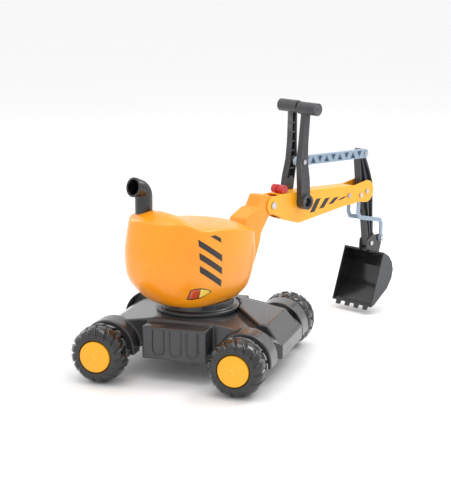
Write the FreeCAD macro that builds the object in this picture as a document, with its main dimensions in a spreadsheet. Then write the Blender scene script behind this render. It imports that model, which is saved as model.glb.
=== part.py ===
import FreeCAD, Part
import math
import os
import re

import Sketcher
from FreeCAD import Placement, Rotation, Vector

# Ride-on digger: a four-wheeled chassis, a swivelling saddle cab and a two-lever digging arm.
# +X is the way the arm points, +Y the rider's left, +Z up; the ground is z = 0 and the
# swivel axis is x = y = 0.  The chassis is designed square to its own rolling direction
# and is then turned under the cab by the swivel angle.

SIZES = {
    # chassis, square to its rolling direction
    "swivel_angle": 64.9, "wheel_base": 297.3, "wheel_track": 364, "deck_top": 124,
    "deck_half_width": 112, "deck_front": 212, "deck_rear": 186, "bumper_half_width": 77,
    "skirt_bottom": 62, "chassis_wall": 3,
    "fender_radius": 59, "fender_half_width": 145, "fender_bottom": 48, "fender_root": 16,
    "step_half_length": 70, "step_half_width": 149, "step_bottom": 46, "step_top": 116,
    "groove_depth": 1.5, "groove_width": 4, "hood_height": 10,
    "tunnel_radius": 10, "bolt_boss_radius": 16, "bolt_boss_depth": 34,
    # wheels, hub caps and axles
    "tyre_radius": 60, "tyre_width": 66, "tread_depth": 5, "lugs_per_row": 16, "tyre_wall": 3,
    "hub_radius": 10, "hub_end_gap": 0.5, "cap_radius": 32.8, "cap_bulge": 3.2,
    "cap_skirt": 8, "cap_wall": 2.5, "axle_radius": 5, "axle_fit": 0.06,
    "push_nut_radius": 8.5, "push_nut_thickness": 2.5,
    # turntable
    "flange_radius": 90, "flange_height": 8, "post_radius": 78, "cab_floor": 148,
    "swivel_bolt_radius": 6, "swivel_fit": 0.08, "slide_gap": 0.3,
    "bolt_head_radius": 10.5, "bolt_head_height": 8, "washer_radius": 16, "washer_thickness": 2.5,
    # cab
    "cab_widest": -38, "cab_rear_length": 136, "cab_front_length": 174, "cab_half_width": 98,
    "cab_height": 202, "cab_wall": 3,
    "exhaust_x": -118, "exhaust_y": 38, "exhaust_base": 334, "exhaust_radius": 18.5,
    "exhaust_rise": 42, "exhaust_bend": 21, "exhaust_reach": 13, "exhaust_wall": 2.5,
    "exhaust_turn": 78,
    # mast and boom
    "knee_x": 222, "knee_z": 313, "knee_radius": 21, "boom_half_width": 19.6, "boom_wall": 2.6,
    "mast_clearance": 0.4, "mast_foot_half_width": 24, "boom_depth": 74, "boom_tip_radius": 27,
    "tip_slot": 52, "knee_slot": 26, "pin_radius": 4, "pin_fit": 0.06, "main_pin_radius": 6,
    "head_radius": 5.5, "head_height": 2.5,
    # levers, and the parallelogram that one of them forms with the dipper
    "lever_x": 316, "lever_z": 309, "lever_gap": 0.7, "lever_thickness": 14,
    "lever_boss_radius": 17, "lever_boss_height": 6.5, "lever_recess_radius": 11,
    "lever_recess_depth": 12, "lever_shell": 3, "lever_height": 211, "lift_lever_tilt": 7,
    "grip_radius": 14, "grip_length": 52, "grip_inner_end": 10, "grip_bore_radius": 11,
    "grip_bore_depth": 36, "crank_x": -8, "crank_z": 92, "link_thickness": 10,
    "link_half_depth": 10.5, "link_gap": 0.5, "link_web": 3, "link_rib": 3,
    # dipper, bucket and the pair of rods that tips it
    "dipper_x": 558, "dipper_z": 297, "dipper_half_width": 9, "dipper_web": 4, "dipper_rib": 4,
    "bucket_pin_x": 32, "bucket_pin_z": -134, "dipper_eye_radius": 11,
    "rod_pin_x": -23, "rod_pin_z": -6, "ear_gap": 0.4, "ear_thickness": 3, "ear_span_x": 34,
    "ear_span_z": 9, "rod_gap": 0.4, "rod_thickness": 3.8, "rod_half_width": 5, "rod_eye_wall": 2.8,
    "rod_slack": 2.6, "bucket_half_width": 60, "bucket_wall": 3, "tooth_length": 9,
    "tooth_width": 12,
    # lock knob
    "knob_x": 263, "knob_radius": 10.5, "knob_length": 33, "knob_stem": 5,
    "knob_stem_length": 30, "knob_fit": 0.3, "knob_rest": 1.5,
}

doc = FreeCAD.newDocument("ride_on_digger")
sheet = doc.addObject("Spreadsheet::Sheet", "Sizes")
for row, (alias, number) in enumerate(SIZES.items(), start=1):
    sheet.set(f"A{row}", alias.replace("_", " "))
    sheet.set(f"B{row}", str(number))
    sheet.setAlias(f"B{row}", alias)
doc.recompute()

mm = {alias: float(sheet.get(alias)) for alias in SIZES}
SIZE_NAME = re.compile(r"[a-z][a-z_]*[a-z]")
pieces = []


def bound(expression):
    """Turn size names in a formula into references to the sheet."""
    return SIZE_NAME.sub(lambda word: "Sizes." + word.group(), str(expression))


def keep(piece, label, placement=None):
    """Name a finished sub-part and list it for export."""
    piece.Label = label
    if placement is not None:
        piece.Placement = placement
    pieces.append(piece)
    return piece


def feature(label, shape, placement=None):
    """A sub-part whose solid is computed here from the sheet's sizes."""
    item = doc.addObject("Part::Feature", label)
    item.Shape = shape
    return keep(item, label, placement)



# ---- plates: PartDesign features drawn in XZ planes and bounded by two y values ----

def new_body(label):
    return doc.addObject("PartDesign::Body", label)


def xz_sketch(body, y):
    """An empty sketch in the plane at the given y; its own axes are +X and +Z."""
    sketch = body.newObject("Sketcher::SketchObject", body.Name + "_sketch")
    plane = next(item for item in body.Origin.OriginFeatures if item.Role == "XZ_Plane")
    sketch.AttachmentSupport = [(plane, "")]
    sketch.MapMode = "FlatFace"
    sketch.setExpression(".AttachmentOffset.Base.z", bound(f"-({y})"))
    return sketch


def dimension(sketch, geometry, point, place):
    """Fix a point of the sketch by its two distances from the origin."""
    for kind, formula in zip(("DistanceX", "DistanceY"), place):
        constraint = Sketcher.Constraint(kind, -1, 1, geometry, point, 1.0 + geometry)
        number = sketch.addConstraint(constraint)
        sketch.setExpression(f"Constraints[{number}]", bound(formula))


def draw_outline(sketch, corners):
    """A closed polyline with every corner given by formulas."""
    count = len(corners)
    for index in range(count):
        start = Vector(index, index * index, 0)
        end = Vector(index + 1, (index + 1) ** 2, 0)
        sketch.addGeometry(Part.LineSegment(start, end), False)
    for index, corner in enumerate(corners):
        following = (index + 1) % count
        sketch.addConstraint(Sketcher.Constraint("Coincident", index, 2, following, 1))
        dimension(sketch, index, 1, corner)


def draw_circle(sketch, centre, radius):
    sketch.addGeometry(Part.Circle(Vector(1, 1, 0), Vector(0, 0, 1), 1), False)
    dimension(sketch, 0, 3, centre)
    number = sketch.addConstraint(Sketcher.Constraint("Radius", 0, 1.0))
    sketch.setExpression(f"Constraints[{number}]", bound(radius))


def extrude(body, kind, sketch, y_low, y_high):
    """A Pad or a Pocket between y_low and y_high."""
    item = body.newObject("PartDesign::" + kind, body.Name + "_" + kind)
    item.Profile = sketch
    item.setExpression("Length", bound(f"({y_high})-({y_low})"))
    sketch.Visibility = False
    return item


def plate(body, corners, y_low, y_high):
    sketch = xz_sketch(body, y_high)
    draw_outline(sketch, corners)
    return extrude(body, "Pad", sketch, y_low, y_high)


def disc(body, centre, radius, y_low, y_high):
    sketch = xz_sketch(body, y_high)
    draw_circle(sketch, centre, radius)
    return extrude(body, "Pad", sketch, y_low, y_high)


def recess(body, corners, y_low, y_high):
    sketch = xz_sketch(body, y_low)
    draw_outline(sketch, corners)
    return extrude(body, "Pocket", sketch, y_low, y_high)


def bore(body, centre, radius, y_low, y_high):
    sketch = xz_sketch(body, y_low)
    draw_circle(sketch, centre, radius)
    return extrude(body, "Pocket", sketch, y_low, y_high)


def span(side, inner, outer):
    """The two y bounds of a layer between inner and outer on the left (1) or right (-1)."""
    if side > 0:
        return inner, outer
    return f"-({outer})", f"-({inner})"


def pivot(body, x, z):
    """Move a body drawn about its own pivot to where that pivot lies."""
    body.setExpression("Placement.Base.x", bound(x))
    body.setExpression("Placement.Base.z", bound(z))


# ---- turned and computed solids ----

def cylinder_along(axis, radius, start, length):
    """A plain cylinder from start along axis."""
    return Part.makeCylinder(radius, length, start, axis)


def box_between(low, high):
    return Part.makeBox(high[0] - low[0], high[1] - low[1], high[2] - low[2], Vector(*low))


def prism(outline, axis, depth):
    """A straight prism on a closed outline."""
    face = Part.Face(Part.makePolygon(list(outline) + [outline[0]]))
    return face.extrude(axis * depth)


def turned(profile):
    """Revolve a profile of (radius, y) points about the y axis."""
    points = [Vector(radius, y, 0) for radius, y in profile]
    face = Part.Face(Part.makePolygon(points + [points[0]]))
    return face.revolve(Vector(0, 0, 0), Vector(0, 1, 0), 360)


def headed_pin(label, radius, half_length, place, head_radius):
    """A pin along y through place, with a flat head on each end."""
    pin = doc.addObject("Part::Cylinder", label + "_shank")
    pin.setExpression("Radius", bound(radius))
    pin.setExpression("Height", bound(f"2*({half_length})"))
    pin.Placement = Placement(Vector(0, 0, 0), Rotation(Vector(1, 0, 0), 90))
    pin.setExpression("Placement.Base.y", bound(half_length))
    heads = []
    for side, offset in ((1, f"({half_length})+head_height"), (-1, f"-({half_length})")):
        head = doc.addObject("Part::Cylinder", label + "_head")
        head.setExpression("Radius", bound(head_radius))
        head.setExpression("Height", bound("head_height"))
        head.Placement = Placement(Vector(0, 0, 0), Rotation(Vector(1, 0, 0), 90))
        head.setExpression("Placement.Base.y", bound(offset))
        heads.append(head)
    joined = doc.addObject("Part::MultiFuse", label)
    joined.Shapes = [pin] + heads
    joined.setExpression("Placement.Base.x", bound(place[0]))
    joined.setExpression("Placement.Base.z", bound(place[1]))
    return keep(joined, label)


CAB_FACETS = 28
CAB_ROUNDNESS = 2.4
CAB_NOSE = 2.7
X = Vector(1, 0, 0)
Y = Vector(0, 1, 0)
Z = Vector(0, 0, 1)
CHASSIS_TURN = Placement(Vector(0, 0, 0), Rotation(Z, -mm["swivel_angle"]))
WHEEL_CORNERS = {
    "front_right": (1, -1), "front_left": (1, 1), "rear_right": (-1, -1), "rear_left": (-1, 1),
}


# ---- chassis ----

def hull(inset):
    """The deck between the wheels; it falls away to both ends and its corners are cut off."""
    front = mm["deck_front"] - inset
    rear = mm["deck_rear"] - inset
    top = mm["deck_top"] - inset
    bottom = mm["skirt_bottom"] if inset == 0 else 0
    width = mm["deck_half_width"] - inset
    nose = mm["bumper_half_width"] - inset
    axle = mm["wheel_base"] / 2
    side = [(-rear, bottom), (-rear, top - 40), (18 - rear, top - 24), (-axle, top - 14),
            (-60, top), (60, top), (axle, top - 14), (front - 34, top - 26), (front, top - 44),
            (front, bottom - 12 if inset == 0 else 0)]
    profile = prism([Vector(x, -width, z) for x, z in side], Y, 2 * width)
    plan = [(-rear, -nose - 8), (-axle, -width), (axle, -width), (front, -nose),
            (front, nose), (axle, width), (-axle, width), (-rear, nose + 8)]
    return profile.common(prism([Vector(x, y, 0) for x, y in plan], Z, 2 * top))


def fenders(inset):
    """Arches beside the deck, one over each wheel's inner edge."""
    shapes = []
    width = mm["fender_half_width"] - inset
    inner = mm["deck_half_width"] - mm["fender_root"]
    reach = mm["fender_radius"] - inset
    for x_side, y_side in WHEEL_CORNERS.values():
        x = x_side * mm["wheel_base"] / 2
        y_low = inner if y_side > 0 else -width
        drum = cylinder_along(Y, reach, Vector(x, y_low, mm["tyre_radius"]), width - inner)
        apron = box_between((x - reach, y_low, 0),
                            (x + reach, y_low + width - inner, mm["tyre_radius"]))
        shapes.append(drum.fuse(apron))
    floor = mm["fender_bottom"] if inset == 0 else 0
    keep_zone = box_between((-400, -400, floor), (400, 400, 400))
    return shapes[0].multiFuse(shapes[1:]).common(keep_zone)


def steps(inset):
    """The block on each side, between the wheels."""
    top = mm["step_top"] - inset
    bottom = mm["step_bottom"] if inset == 0 else 0
    half = mm["step_half_length"] - inset
    width = mm["step_half_width"] - inset
    return box_between((-half, -width, bottom), (half, width, top))


def hood():
    """A raised panel from the turntable down to the bumper; one edge runs aslant."""
    end = mm["deck_front"]
    nose = mm["bumper_half_width"]
    top = mm["deck_top"]
    lift = mm["hood_height"]
    axle = mm["wheel_base"] / 2
    plan = [(57, 40), (axle + 10, 2 - nose), (end, -nose), (end, nose), (end - 34, nose - 12),
            (63, nose - 8)]
    side = [(40, top - 40), (40, top + lift), (70, top + lift), (end - 34, top - 6),
            (end - 6, top - 44), (end - 12, top - 60)]
    panel = prism([Vector(x, y, 0) for x, y in plan], Z, 2 * top)
    return panel.common(prism([Vector(x, -2 * nose, z) for x, z in side], Y, 4 * nose))


def step_grooves():
    """Three U-shaped grooves in the face of each side block."""
    width = mm["groove_width"]
    low = mm["step_bottom"] + 18
    high = mm["step_top"] - 8
    shapes = []
    for side in (1, -1):
        face_y = side * mm["step_half_width"]
        y_low, y_high = sorted((face_y - side * mm["groove_depth"], face_y + side))
        for x in (-34, 4, 42):
            shapes.append(box_between((x - width, y_low, low), (x, y_high, high)))
            shapes.append(box_between((x - width, y_low, low), (x + 5 * width, y_high, low + width)))
    return shapes


def deck_ribs():
    """Two ribs along and one across, hung from the underside of the deck."""
    wall = mm["chassis_wall"]
    low = mm["deck_top"] - mm["bolt_boss_depth"]
    front = mm["deck_front"] - wall
    rear = mm["deck_rear"] - wall
    width = mm["deck_half_width"]
    ribs = [box_between((-wall / 2, -width, low), (wall / 2, width, mm["deck_top"] - wall))]
    for side in (1, -1):
        y = side * mm["bolt_boss_radius"] - wall / 2
        ribs.append(box_between((-rear, y, low), (front, y + wall, mm["deck_top"] - wall)))
    return ribs


def chassis_shell():
    """One moulding, open underneath, with tubes for the axles and the swivel bolt."""
    outside = hull(0).multiFuse([fenders(0), steps(0), hood()])
    flange_room = cylinder_along(
        Z, mm["flange_radius"] + 2, Vector(0, 0, mm["deck_top"]), 2 * mm["hood_height"])
    outside = outside.cut(flange_room)
    wall = mm["chassis_wall"]
    inside = hull(wall).multiFuse([fenders(wall), steps(wall)])
    shell = outside.cut(inside)
    half_width = mm["fender_half_width"]
    tubes = []
    holes = step_grooves()
    for x_side in (1, -1):
        start = Vector(x_side * mm["wheel_base"] / 2, -half_width, mm["tyre_radius"])
        tubes.append(cylinder_along(Y, mm["tunnel_radius"], start, 2 * half_width))
        holes.append(cylinder_along(Y, mm["axle_radius"] + mm["axle_fit"], start, 2 * half_width))
    boss_start = Vector(0, 0, mm["deck_top"] - mm["bolt_boss_depth"])
    tubes.append(cylinder_along(Z, mm["bolt_boss_radius"], boss_start, mm["bolt_boss_depth"]))
    bolt_bore = mm["swivel_bolt_radius"] + mm["swivel_fit"]
    holes.append(cylinder_along(Z, bolt_bore, boss_start - Z, mm["bolt_boss_depth"] + 2))
    ribs = tubes + deck_ribs()
    inner_ribs = ribs[0].multiFuse(ribs[1:]).common(outside)
    return shell.fuse(inner_ribs).cut(holes[0].multiFuse(holes[1:]))


feature("chassis_shell", chassis_shell(), CHASSIS_TURN)


# ---- turntable and its bolt ----

def turntable_post():
    """A flanged drum that the cab rides on, hollow from below."""
    low = mm["deck_top"]
    flange_top = low + mm["flange_height"]
    top = mm["cab_floor"] - mm["slide_gap"]
    wall = mm["chassis_wall"]
    drum = cylinder_along(Z, mm["flange_radius"], Vector(0, 0, low), mm["flange_height"])
    post = cylinder_along(Z, mm["post_radius"], Vector(0, 0, flange_top), top - flange_top)
    hollow = cylinder_along(Z, mm["post_radius"] - wall, Vector(0, 0, low), top - low - wall)
    sleeve = cylinder_along(Z, mm["bolt_boss_radius"], Vector(0, 0, low), top - low)
    bolt_bore = mm["swivel_bolt_radius"] + mm["swivel_fit"]
    hole = cylinder_along(Z, bolt_bore, Vector(0, 0, low - 1), top - low + 2)
    return drum.fuse(post).cut(hollow).fuse(sleeve).cut(hole)


def hexagon(radius, base, height):
    """A hexagonal prism about the z axis."""
    corners = [Vector(radius * math.cos(k * math.pi / 3), radius * math.sin(k * math.pi / 3), base)
               for k in range(6)]
    return prism(corners, Z, height)


feature("turntable_post", turntable_post())

bolt_low = mm["deck_top"] - mm["bolt_boss_depth"]
washer_low = mm["cab_floor"] + mm["cab_wall"] + mm["slide_gap"]
nut_low = washer_low + mm["washer_thickness"]
bolt_top = nut_low + mm["bolt_head_height"] + 4
shank = cylinder_along(Z, mm["swivel_bolt_radius"], Vector(0, 0, bolt_low), bolt_top - bolt_low)
head_low = bolt_low - mm["bolt_head_height"]
feature("swivel_bolt", shank.fuse(hexagon(mm["bolt_head_radius"], head_low, mm["bolt_head_height"])))
washer = cylinder_along(Z, mm["washer_radius"], Vector(0, 0, washer_low), mm["washer_thickness"])
feature("swivel_washer", washer.cut(shank))
nut = hexagon(mm["bolt_head_radius"], nut_low, mm["bolt_head_height"])
feature("swivel_nut", nut.cut(shank))


# ---- axles and wheels ----

hub_inner = (mm["wheel_track"] - mm["tyre_width"]) / 2
hub_outer = hub_inner + mm["tyre_width"]
nut_outer = hub_outer - mm["cap_skirt"]
nut_inner = nut_outer - mm["push_nut_thickness"]
axle_end = nut_outer + 1.0

for name, x_side in (("axle_front", 1), ("axle_rear", -1)):
    start = Vector(x_side * mm["wheel_base"] / 2, -axle_end, mm["tyre_radius"])
    feature(name, cylinder_along(Y, mm["axle_radius"], start, 2 * axle_end), CHASSIS_TURN)

push_nuts = []
for x_side, y_side in WHEEL_CORNERS.values():
    y = min(y_side * nut_inner, y_side * nut_outer)
    start = Vector(x_side * mm["wheel_base"] / 2, y, mm["tyre_radius"])
    disc_shape = cylinder_along(Y, mm["push_nut_radius"], start, mm["push_nut_thickness"])
    push_nuts.append(disc_shape.cut(
        cylinder_along(Y, mm["axle_radius"], start, mm["push_nut_thickness"])))
feature("axle_push_nuts", Part.Compound(push_nuts), CHASSIS_TURN)


def tread_lug(inner, angle):
    """One lug of the tread: a block a little over half a pitch long."""
    pitch = 360 / mm["lugs_per_row"]
    y_low, y_high = (1.5, mm["tyre_width"] / 2 - 2) if inner else (2 - mm["tyre_width"] / 2, -1.5)
    core = mm["tyre_radius"] - mm["tread_depth"] - 1
    outline = [(core, y_low), (mm["tyre_radius"], y_low + 1), (mm["tyre_radius"], y_high - 4),
               (core, y_high)]
    if not inner:
        outline = [(core, y_low), (mm["tyre_radius"], y_low + 4), (mm["tyre_radius"], y_high - 1),
                   (core, y_high)]
    face = Part.Face(Part.makePolygon([Vector(r, y, 0) for r, y in outline + outline[:1]]))
    lug = face.revolve(Vector(0, 0, 0), Y, 0.62 * pitch)
    lug.rotate(Vector(0, 0, 0), Y, angle)
    return lug


def wheel():
    """A thin-walled wheel about the y axis, open on its outer (+y) side for the hub cap."""
    half = mm["tyre_width"] / 2
    wall = mm["tyre_wall"]
    core = mm["tyre_radius"] - mm["tread_depth"]
    axle_bore = mm["axle_radius"] + mm["axle_fit"]
    inner_face = mm["fender_half_width"] + mm["hub_end_gap"] - mm["wheel_track"] / 2
    outer_face = nut_inner - mm["hub_end_gap"] - mm["wheel_track"] / 2
    lip = mm["cap_radius"] + mm["cap_wall"] / 10
    profile = [
        (axle_bore, inner_face), (mm["hub_radius"], inner_face), (mm["hub_radius"], -half),
        (core - 5, -half), (core, 5 - half), (core, half - 5), (core - 5, half),
        (lip, half), (lip, half - mm["cap_skirt"] / 2), (core - 5 - wall, half - wall),
        (core - wall, half - 5), (core - wall, 5 - half), (core - 5 - wall, wall - half),
        (mm["hub_radius"] + wall, wall - half), (mm["hub_radius"], 2 * wall - half),
        (mm["hub_radius"], outer_face), (axle_bore, outer_face),
    ]
    rim = turned(profile)
    pitch = 360 / mm["lugs_per_row"]
    lugs = []
    for number in range(int(mm["lugs_per_row"])):
        lugs.append(tread_lug(True, number * pitch))
        lugs.append(tread_lug(False, (number + 0.5) * pitch))
    return rim.multiFuse(lugs)


def hub_cap():
    """A shallow dished cap with a skirt that plugs into the wheel."""
    half = mm["tyre_width"] / 2
    radius = mm["cap_radius"]
    wall = mm["cap_wall"]
    face = half + mm["cap_bulge"]
    profile = [
        (0, face), (radius - 2, face), (radius, face - 2), (radius, half - mm["cap_skirt"] / 2),
        (radius - wall, half - mm["cap_skirt"] / 2), (radius - wall, face - wall), (0, face - wall),
    ]
    return turned(profile)


WHEEL = wheel()
CAP = hub_cap()
for corner, (x_side, y_side) in WHEEL_CORNERS.items():
    facing = Rotation(Z, 0 if y_side > 0 else 180)
    centre = Vector(x_side * mm["wheel_base"] / 2, y_side * mm["wheel_track"] / 2, mm["tyre_radius"])
    place = CHASSIS_TURN.multiply(Placement(centre, facing))
    feature("wheel_" + corner, WHEEL, place)
    feature("hub_cap_" + corner, CAP, place)


# ---- cab ----

# The cab's plan at a few heights, as shares of its own sizes: height, length behind the widest
# place, length ahead of it, and half width.  Each half of a plan is half a superellipse.
CAB_PLANS = [
    (0.00, 0.48, 0.76, 0.78), (0.09, 0.67, 0.89, 0.90), (0.28, 0.93, 0.97, 0.98),
    (0.50, 1.00, 1.00, 1.00), (0.70, 0.98, 0.98, 0.97), (1.04, 0.88, 0.87, 0.88),
]
# The seat's centre line: place along x from the swivel axis as a share of the front
# length, height as a share of the cab's height, and how far the seat's sides fall away.
CAB_SEAT = [
    (-1.12, 0.86, 0.14), (-0.90, 0.94, 0.13), (-0.65, 1.00, 0.13), (-0.40, 0.93, 0.12),
    (-0.13, 0.86, 0.06), (0.22, 0.82, 0.07), (0.55, 0.75, 0.11), (0.85, 0.60, 0.15),
]


def cab_plan(plan, inset):
    """One horizontal outline of the cab, moved in by inset."""
    share, rear_share, front_share, width_share = plan
    rear = mm["cab_rear_length"] * rear_share - inset
    front = mm["cab_front_length"] * front_share - inset
    half_width = mm["cab_half_width"] * width_share - inset
    z = mm["cab_floor"] + share * mm["cab_height"] + (inset if share == 0 else 0)
    points = []
    for step in range(CAB_FACETS):
        angle = 2 * math.pi * (step + 0.5) / CAB_FACETS
        cosine = math.cos(angle)
        sine = math.sin(angle)
        length, roundness = (front, CAB_NOSE) if cosine > 0 else (rear, CAB_ROUNDNESS)
        x = math.copysign(abs(cosine) ** (2 / roundness), cosine) * length
        y = math.copysign(abs(sine) ** (2 / roundness), sine) * half_width
        points.append(Vector(mm["cab_widest"] + x, y, z))
    return Part.makePolygon(points + points[:1])


def seat_section(place, inset):
    """Everything below the seat at one station along x."""
    x_share, z_share, fall = place
    x = x_share * mm["cab_front_length"]
    width = 1.2 * mm["cab_half_width"]
    top = mm["cab_floor"] + z_share * mm["cab_height"] - inset
    points = [Vector(x, -width, 0)]
    for step in range(-4, 5):
        y = width * step / 4
        points.append(Vector(x, y, top - fall * mm["cab_height"] * (y / mm["cab_half_width"]) ** 2))
    points.append(Vector(x, width, 0))
    return Part.makePolygon(points + points[:1])


def cab_body(inset):
    pot = Part.makeLoft([cab_plan(plan, inset) for plan in CAB_PLANS], True, True)
    below_seat = Part.makeLoft([seat_section(place, inset) for place in CAB_SEAT], True, True)
    return pot.common(below_seat)


CAB_OUTSIDE = cab_body(0)
cab_hollow = cab_body(mm["cab_wall"])
floor_hole = cylinder_along(
    Z, mm["swivel_bolt_radius"] + mm["swivel_fit"], Vector(0, 0, mm["cab_floor"] - 1), 20)
feature("cab_shell", CAB_OUTSIDE.cut(cab_hollow).cut(floor_hole))


def exhaust_pipe():
    """A stub pipe that rises from the cab and bends back over its rear."""
    base = Vector(mm["exhaust_x"], mm["exhaust_y"], mm["exhaust_base"])
    top = base + Z * mm["exhaust_rise"]
    bend = mm["exhaust_bend"]
    hub = top - X * bend
    turn = math.radians(mm["exhaust_turn"])
    middle = hub + X * bend * math.cos(turn / 2) + Z * bend * math.sin(turn / 2)
    bend_end = hub + X * bend * math.cos(turn) + Z * bend * math.sin(turn)
    mouth_axis = -X * math.sin(turn) + Z * math.cos(turn)
    mouth = bend_end + mouth_axis * mm["exhaust_reach"]
    path = Part.Wire([
        Part.LineSegment(base, top).toShape(), Part.Arc(top, middle, bend_end).toShape(),
        Part.LineSegment(bend_end, mouth).toShape()])
    solids = []
    for radius in (mm["exhaust_radius"], mm["exhaust_radius"] - mm["exhaust_wall"]):
        ring = Part.Wire([Part.makeCircle(radius, base, Z)])
        solids.append(path.makePipeShell([ring], True, False))
    collar_start = mouth - mouth_axis * 8
    collar = cylinder_along(mouth_axis, mm["exhaust_radius"] + 2, collar_start, 8)
    return solids[0].fuse(collar).cut(solids[1]).cut(CAB_OUTSIDE)


feature("exhaust_pipe", exhaust_pipe())


# ---- mast: the fixed lower boom ----

def cab_tool():
    tool = doc.addObject("Part::Feature", "cab_outside")
    tool.Shape = CAB_OUTSIDE
    return tool


mast = new_body("mast_block")
tongue = "boom_half_width-boom_wall-mast_clearance"
foot = "mast_foot_half_width"
plate(mast, [("-96", "-150"), ("-66", "-118"), ("-48", "-76"), ("-12", "-26"), ("8", "-10"), ("8", "10"),
             ("-12", "26"), ("-42", "30"), ("-56", "4"), ("-96", "-14"), ("-116", "-60")],
      f"-({tongue})", tongue)
disc(mast, ("0", "0"), "knee_radius-1", f"-({tongue})", tongue)
plate(mast, [("-96", "-150"), ("-66", "-118"), ("-48", "-76"), ("-36", "-18"), ("-56", "4"),
             ("-96", "-14"), ("-116", "-60")], f"-{foot}", foot)
bore(mast, ("0", "0"), "main_pin_radius+pin_fit", f"-({tongue})", tongue)
pivot(mast, "knee_x", "knee_z")
lower_boom = doc.addObject("Part::Cut", "lower_boom")
lower_boom.Base = mast
lower_boom.Tool = cab_tool()
keep(lower_boom, "lower_boom")


# ---- boom: two screwed half shells between the knee and the dipper pivot ----

REACH = "(dipper_x-knee_x)"
TIP_Z = "(dipper_z-knee_z)"
BOOM_TOP = [("0.12", "0.28"), ("0.40", "0.22"), ("0.66", "0.14"), ("0.86", "0.07")]
BOOM_BOTTOM = [("0.93", "-0.53"), ("0.75", "-0.54"), ("0.48", "-0.64"), ("0.36", "-0.69"),
               ("0.26", "-0.73"), ("0.17", "-0.61"), ("0.07", "-0.44")]


def boom_edge(points, shift):
    return [(f"{x}*{REACH}", f"({z})*boom_depth+{shift}") for x, z in points]


def boom_half(label, side):
    """One half of the boom: a cheek with a rim, open at the knee and at the tip."""
    body = new_body(label)
    inner, outer = span(side, "0", "boom_half_width")
    cheek = span(side, "boom_half_width-boom_wall", "boom_half_width")
    hollow = span(side, "0", "boom_half_width-boom_wall")
    outline = [("0", "knee_radius")] + boom_edge(BOOM_TOP, "0")
    outline += [(REACH, f"{TIP_Z}+boom_tip_radius"), (REACH, f"{TIP_Z}-boom_tip_radius")]
    outline += boom_edge(BOOM_BOTTOM, "0") + [("0", "-knee_radius")]
    plate(body, outline, inner, outer)
    disc(body, ("0", "0"), "knee_radius", *cheek)
    disc(body, (REACH, TIP_Z), "boom_tip_radius", *cheek)
    cavity = [("-2", "2*knee_radius"), ("knee_slot", "2*knee_radius")]
    cavity += [("knee_slot", "0.27*boom_depth-boom_wall")]
    cavity += boom_edge(BOOM_TOP, "0-boom_wall")[1:3]
    cavity += [(f"{REACH}-tip_slot", "0.07*boom_depth-boom_wall")]
    cavity += [(f"{REACH}-tip_slot", "boom_depth"), (f"{REACH}+boom_tip_radius", "boom_depth")]
    cavity += [(f"{REACH}+boom_tip_radius", "0-boom_depth"), (f"{REACH}-tip_slot", "0-boom_depth")]
    cavity += [(f"{REACH}-tip_slot", "0-0.54*boom_depth+boom_wall")]
    cavity += boom_edge(BOOM_BOTTOM, "boom_wall")[2:5]
    cavity += [("knee_slot", "0-0.45*boom_depth"), ("knee_slot", "0-2*knee_radius")]
    cavity += [("-2", "0-2*knee_radius")]
    recess(body, cavity, *hollow)
    arm = ("lever_x-knee_x", "lever_z-knee_z")
    bosses = [arm, (f"0.80*{REACH}", "-0.22*boom_depth")]
    for place in bosses:
        disc(body, place, "main_pin_radius+boom_wall", *hollow)
    bore(body, ("0", "0"), "main_pin_radius", inner, outer)
    bore(body, arm, "main_pin_radius", inner, outer)
    bore(body, bosses[1], "pin_radius", inner, outer)
    bore(body, (REACH, TIP_Z), "pin_radius", inner, outer)
    bore(body, (f"{REACH}+rod_pin_x", f"{TIP_Z}+rod_pin_z"), "pin_radius", inner, outer)
    slot = span(side, "0", "knob_stem+knob_fit")
    recess(body, [("knob_x-knee_x-knob_stem-knob_fit", "0"), ("knob_x-knee_x+knob_stem+knob_fit", "0"),
                  ("knob_x-knee_x+knob_stem+knob_fit", "boom_depth"),
                  ("knob_x-knee_x-knob_stem-knob_fit", "boom_depth")], *slot)
    pivot(body, "knee_x", "knee_z")
    return keep(body, label)


boom_half("boom_half_left", 1)
boom_half("boom_half_right", -1)
headed_pin("knee_pin", "main_pin_radius", "boom_half_width", ("knee_x", "knee_z"), "head_radius+2")
headed_pin("boom_screw", "pin_radius", "boom_half_width",
           (f"knee_x+0.80*{REACH}", "knee_z-0.22*boom_depth"), "head_radius")
headed_pin("dipper_pin", "pin_radius", "boom_half_width", ("dipper_x", "dipper_z"), "head_radius")
headed_pin("rod_upper_pin", "pin_radius", "boom_half_width",
           ("dipper_x+rod_pin_x", "dipper_z+rod_pin_z"), "head_radius")


# ---- the two control levers: one moulding, used twice ----

def lever_bounds():
    inner = "(boom_half_width+lever_gap)"
    return f"-({inner}+lever_thickness)", f"-{inner}"


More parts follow.
